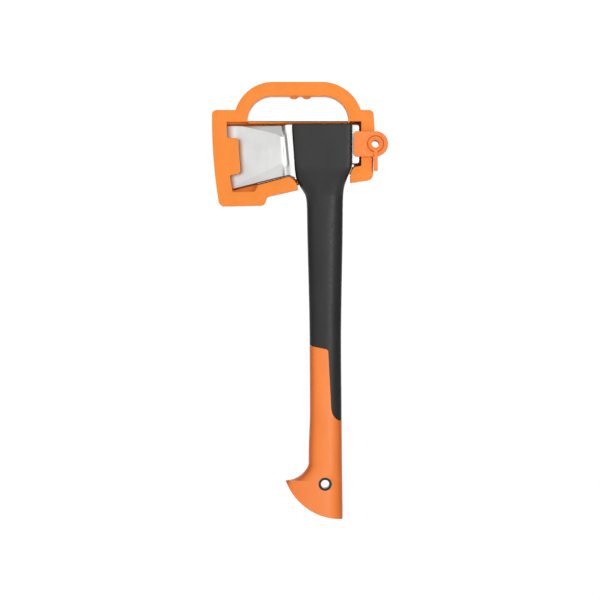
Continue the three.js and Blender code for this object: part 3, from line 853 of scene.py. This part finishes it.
def head_pocket():
    """The room around the blade inside the guard."""
    half_slope = (15.5 - EDGE_HALF) / (PAD_END - edge_x - GRIND)
    profile = [
        (edge_x, 0.25),
        (edge_x + GRIND, EDGE_HALF),
        (PAD_END, EDGE_HALF + half_slope * (PAD_END - edge_x - GRIND)),
        (wrap_front - 5.6, shoulder_half),
        (wrap_front + 8, shoulder_half),
    ]
    grown = [(x - head_gap, half + head_gap) for x, half in profile]
    loop = grown + [(x, -y) for x, y in reversed(grown)]
    above, below = ([(x, y, z) for x, y in loop] for z in (head_top + 40, heel_z - 40))
    wedge = between(above, below, "wedge")
    with editing(wedge) as bm:
        bmesh.ops.recalc_face_normals(bm, faces=bm.faces)
    toe, heel = head_top - 1.3 + head_gap, heel_z - head_gap
    bow_r = BOW_R + head_gap
    start, end = (math.pi + math.asin((BOW_Z - z) / bow_r) for z in (toe, heel))
    o = Outline(wrap_front + 12, head_top - 0.6 + head_gap)
    o.line(wrap_front - 6.6, head_top - 0.6 + head_gap).line(wrap_front - 8.2, toe)
    o.arc(BOW_X, BOW_Z, bow_r, start, end, math.radians(0.5))
    o.line(wrap_front - 3.6, head_top - 57.6 - head_gap)
    o.line(wrap_front + 12, head_top - 65)
    return common(wedge, prism(o, -FAR, FAR))


def blade_low(x):
    """Height of the blade's lower edge."""
    ax, az = edge_at(heel_z), heel_z
    bx, bz = wrap_front - 3.6, head_top - 57.6
    return az + (bz - az) * (x - ax) / (bx - ax)


def slot_ledges():
    """Ledges deep in the slots over and under the blade, which close them from behind."""
    under = Outline(-49.5, heel_z + 4).line(-49.5, heel_z + 14)
    under.line(wrap_front - 4, head_top - 54).line(wrap_front + 4, head_top - 56)
    under.line(arm_tip[0] + 1, head_top - 68).line(arm_tip[0] - 4, head_top - 70)
    ledges = prism(under, 2, 12)
    join(ledges, block(-49.5, wrap_front - 6, 1, 8.9, head_top - 4, head_top + 1.2))
    grown = Outline(wrap_front + 6, head_top - 0.6 + ledge_gap)
    grown.line(wrap_front - 6.6, head_top - 0.6 + ledge_gap)
    grown.line(wrap_front - 8.2, head_top - 1.3 + ledge_gap)
    grown.line(-56, head_top - 1.3 + ledge_gap).line(-56, blade_low(-56) - ledge_gap)
    grown.line(wrap_front - 3.6, head_top - 57.6 - ledge_gap)
    grown.line(wrap_front + 3.9, head_top - 61 - ledge_gap)
    grown.line(wrap_front + 6, head_top - 61 - ledge_gap)
    neck = handle_form(head_top, wrap_bottom - 40, -ledge_gap, count=60, step=4)
    low, high = wrap_bottom - 10, wrap_bottom - 1.6
    behind_neck = Outline(wrap_back - 6, low).line(wrap_back + 1, low)
    behind_neck.line(wrap_back + 3, high).line(wrap_back - 3, high)
    cut(ledges, prism(grown, -THROUGH, THROUGH))
    join(ledges, prism(behind_neck, 2, 12))
    return cut(ledges, neck)


def make_guard():
    g, wide = guard_half, guard_half + 1
    rail_left, rail_right, rail_half = -59.5, 53.2, 9
    rail_top = 0.01 - finger_height
    guard = prism(guard_outline(), -g, g)
    cut(
        guard,
        prism(finger_outline(), -wide, wide),
        prism(throat_outline(), -wide, wide),
        prism(front_window(), -wide, 0),
        prism(back_window(), 0, wide),
        bar_channel(),
        head_pocket(),
        block(rail_left, rail_right, -wide, -rail_half, head_top, rail_top),
        block(rail_left, rail_right, rail_half, wide, head_top, rail_top),
    )
    join(
        guard,
        ellipsoid((-7.5, 0, 0.4), (5.6, g - 3, 3.6)),
        ellipsoid((6.9, 0, 0.4), (5.6, g - 3, 3.6)),
        bar(pivot_x, pivot_z, ear_r, -g, g),
        block(guard_right - 8, guard_right + 2, g - 2.4, g, wrap_bottom - 2.2, head_top + 4),
        slot_ledges(),
        block(wrap_back - 3, guard_right - 7, g - 2.2, g - 0.2, head_top + 0.7, head_top + 3.8),
    )
    lever_low_z, plate_low_z = lever_low[2] - 1, plate_low[2] - 0.4
    cut(
        guard,
        block(lever_left - 1.9, lever_right, -wide, 7.9 - g, lever_low_z, plate_low_z),
        bar(pivot_x, pivot_z, pivot_bore_r, -wide, wide),
        bar(pivot_x, pivot_z, ring_bore_r, snap_low[1] - seat_gap, wide),
    )
    tidy_mesh(guard, 0.05)
    soften(guard, 0.6, 3, 38)
    return shade(guard, 24)


guard = make_guard()
finish_piece(
    guard, "blade_guard", guard_orange, "axe_in_guard", "guard_plastic", "guard_frame"
)


# --- Latch -----------------------------------------------------------------------------
def ring_groove(inner, outer, front, depth):
    """The cutter for a round groove about the pivot, sunk into a front face."""
    disc = bar(pivot_x, pivot_z, outer, front - 2, front + depth)
    return cut(disc, bar(pivot_x, pivot_z, inner, -FAR, FAR))


def make_plate():
    left, r = plate_low[0], 5
    low, high = plate_low[2], plate_high[2]
    o = Outline(left + r, low)
    quarter = math.pi / 2
    o.arc(pivot_x, pivot_z, (high - low) / 2, -quarter, quarter)
    o.arc(left + r, high - r, r, quarter, math.pi)
    o.arc(left + r, low + r, r, math.pi, 3 * quarter)
    plate = prism(o, plate_low[1], plate_high[1])
    front = plate_low[1]
    cut(plate, bar(pivot_x, pivot_z, pivot_bore_r, -FAR, FAR), ring_groove(7.6, 9.2, front, 0.5))
    tidy_mesh(plate)
    soften(plate, 0.7, 4)
    return shade(plate)


def make_lever():
    """A ring and finger stem of one keyhole outline, and the hollow pivot behind it."""
    front, back = lever_low[1], plate_low[1] - seat_gap
    left, right = lever_left, lever_right
    from_angle = -math.acos((right - pivot_x) / ring_r)
    to_angle = 2 * math.pi - math.acos((left - pivot_x) / ring_r)
    outline = Outline(right, lever_low[2])
    outline.arc(pivot_x, pivot_z, ring_r, from_angle, to_angle)
    outline.line(left, lever_low[2])
    lever = prism(outline, front, 6 - guard_half)
    cut(lever, block(left - 20, right + 20, back, 20, plate_low[2] - 1, pivot_z + 20))
    join(lever, bar(pivot_x, pivot_z, pivot_r, back - 0.8, lever_high[1]))
    hole = bar(pivot_x, pivot_z, pivot_hole_r, -FAR, FAR)
    cut(lever, hole, ring_groove(5.4, 6.3, front, 0.4))
    tidy_mesh(lever)
    soften(lever, 0.3, 3)
    return shade(lever)


def make_snap_ring():
    ring = bar(pivot_x, pivot_z, ring_r, snap_low[1], snap_high[1])
    cut(ring, bar(pivot_x, pivot_z, pivot_bore_r, -FAR, FAR))
    tidy_mesh(ring)
    soften(ring, 0.25, 2)
    return shade(ring)


finish_piece(
    make_plate(), "latch_tongue", latch_orange, "latch", "latch_plastic", "latch_plate"
)
finish_piece(
    make_lever(), "latch_finger_lever", latch_orange, "latch", "latch_plastic", "latch_lever"
)
finish_piece(
    make_snap_ring(), "latch_retainer", snap_black, "latch", "core_plastic", "latch_snap_ring"
)
# The plug stays as it is in CAD, hidden inside the knob, with the core's material.
plug = frame["nodes"]["core_end_plug"]
plug.data.materials.clear()
plug.data.materials.append(core_black)

# --- Stage -----------------------------------------------------------------------------
FLOOR_Z = cad_low[2] - 0.125
bm = bmesh.new()
bmesh.ops.create_circle(bm, cap_ends=True, segments=96, radius=3.0)
floor_mesh = bpy.data.meshes.new("floor")
bm.to_mesh(floor_mesh)
bm.free()
floor = bpy.data.objects.new("floor", floor_mesh)
floor.location = (0, 0, FLOOR_Z)
scene.collection.objects.link(floor)
paper, paper_tree, paper_shader = new_material("paper", 0.9)
paper_noise = noise(paper_tree, 8)
vary_colour(paper_tree, paper_shader, paper_noise, (0.9, 0.9, 0.9), (0.93, 0.93, 0.93))
paper_shader.inputs["Emission Color"].default_value = (1, 1, 1, 1)
paper_shader.inputs["Emission Strength"].default_value = 0.36
floor.data.materials.append(paper)

# --- Light: a white tent, brighter towards the camera's right --------------------------
world = bpy.data.worlds.new("studio")
scene.world = world
world.use_nodes = True
tree = world.node_tree
tree.nodes.clear()


def math_node(operation, first, second):
    node = tree.nodes.new("ShaderNodeMath")
    node.operation = operation
    for socket, value in zip(node.inputs, (first, second)):
        if isinstance(value, (int, float)):
            socket.default_value = value
        else:
            tree.links.new(value, socket)
    return node.outputs["Value"]


direction = coordinates(tree, "Generated")


def lobe(azimuth, elevation, power, strength):
    """Light from around one direction. Azimuth 0 is the camera's side, positive to +X."""
    a, e = math.radians(azimuth), math.radians(elevation)
    dot = tree.nodes.new("ShaderNodeVectorMath")
    dot.operation = "DOT_PRODUCT"
    dot.inputs[1].default_value = (
        math.sin(a) * math.cos(e),
        -math.cos(a) * math.cos(e),
        math.sin(e),
    )
    tree.links.new(direction, dot.inputs[0])
    positive = math_node("MAXIMUM", dot.outputs["Value"], 0.0)
    return math_node("MULTIPLY", math_node("POWER", positive, power), strength)


LIGHT_BASE = 0.16
# Azimuth and elevation in degrees, the power that narrows the lobe, and its strength.
LOBES = [
    (-7, 0, 2.5, 2.15),
    (17, 2, 110.0, 8.0),
    (17, -11, 110.0, 8.0),
    (17, -24, 110.0, 8.0),
    (180, 0, 3.0, 1.9),
    (163, 10, 60.0, 3.4),
    (0, 90, 4.0, 0.9),
]
total = LIGHT_BASE
for values in LOBES:
    total = math_node("ADD", lobe(*values), total)
tent = tree.nodes.new("ShaderNodeBackground")
tree.links.new(total, tent.inputs["Strength"])
backdrop = tree.nodes.new("ShaderNodeBackground")
backdrop.inputs["Color"].default_value = (1, 1, 1, 1)
backdrop.inputs["Strength"].default_value = 1.05
path = tree.nodes.new("ShaderNodeLightPath")
mixed = tree.nodes.new("ShaderNodeMixShader")
output = tree.nodes.new("ShaderNodeOutputWorld")
tree.links.new(path.outputs["Is Camera Ray"], mixed.inputs["Fac"])
tree.links.new(tent.outputs["Background"], mixed.inputs[1])
tree.links.new(backdrop.outputs["Background"], mixed.inputs[2])
tree.links.new(mixed.outputs["Shader"], output.inputs["Surface"])
scene.view_settings.view_transform = "Standard"

# --- Camera: square on to the front cheek, far enough away for a flat view -------------
DISTANCE = 3.5
VIEW_WIDTH = 0.6778
CAMERA_RISE = 0.7
centre = (cad_low + cad_high) / 2
camera_data = bpy.data.cameras.new("camera")
camera_data.sensor_width = 36
camera_data.lens = camera_data.sensor_width * DISTANCE / VIEW_WIDTH
camera_data.clip_end = 50
camera = bpy.data.objects.new("camera", camera_data)
camera.location = (centre.x, -DISTANCE, centre.z + CAMERA_RISE * MM)
camera.rotation_euler = (math.pi / 2, 0, 0)
scene.collection.objects.link(camera)
scene.camera = camera

bpy.context.view_layer.update()
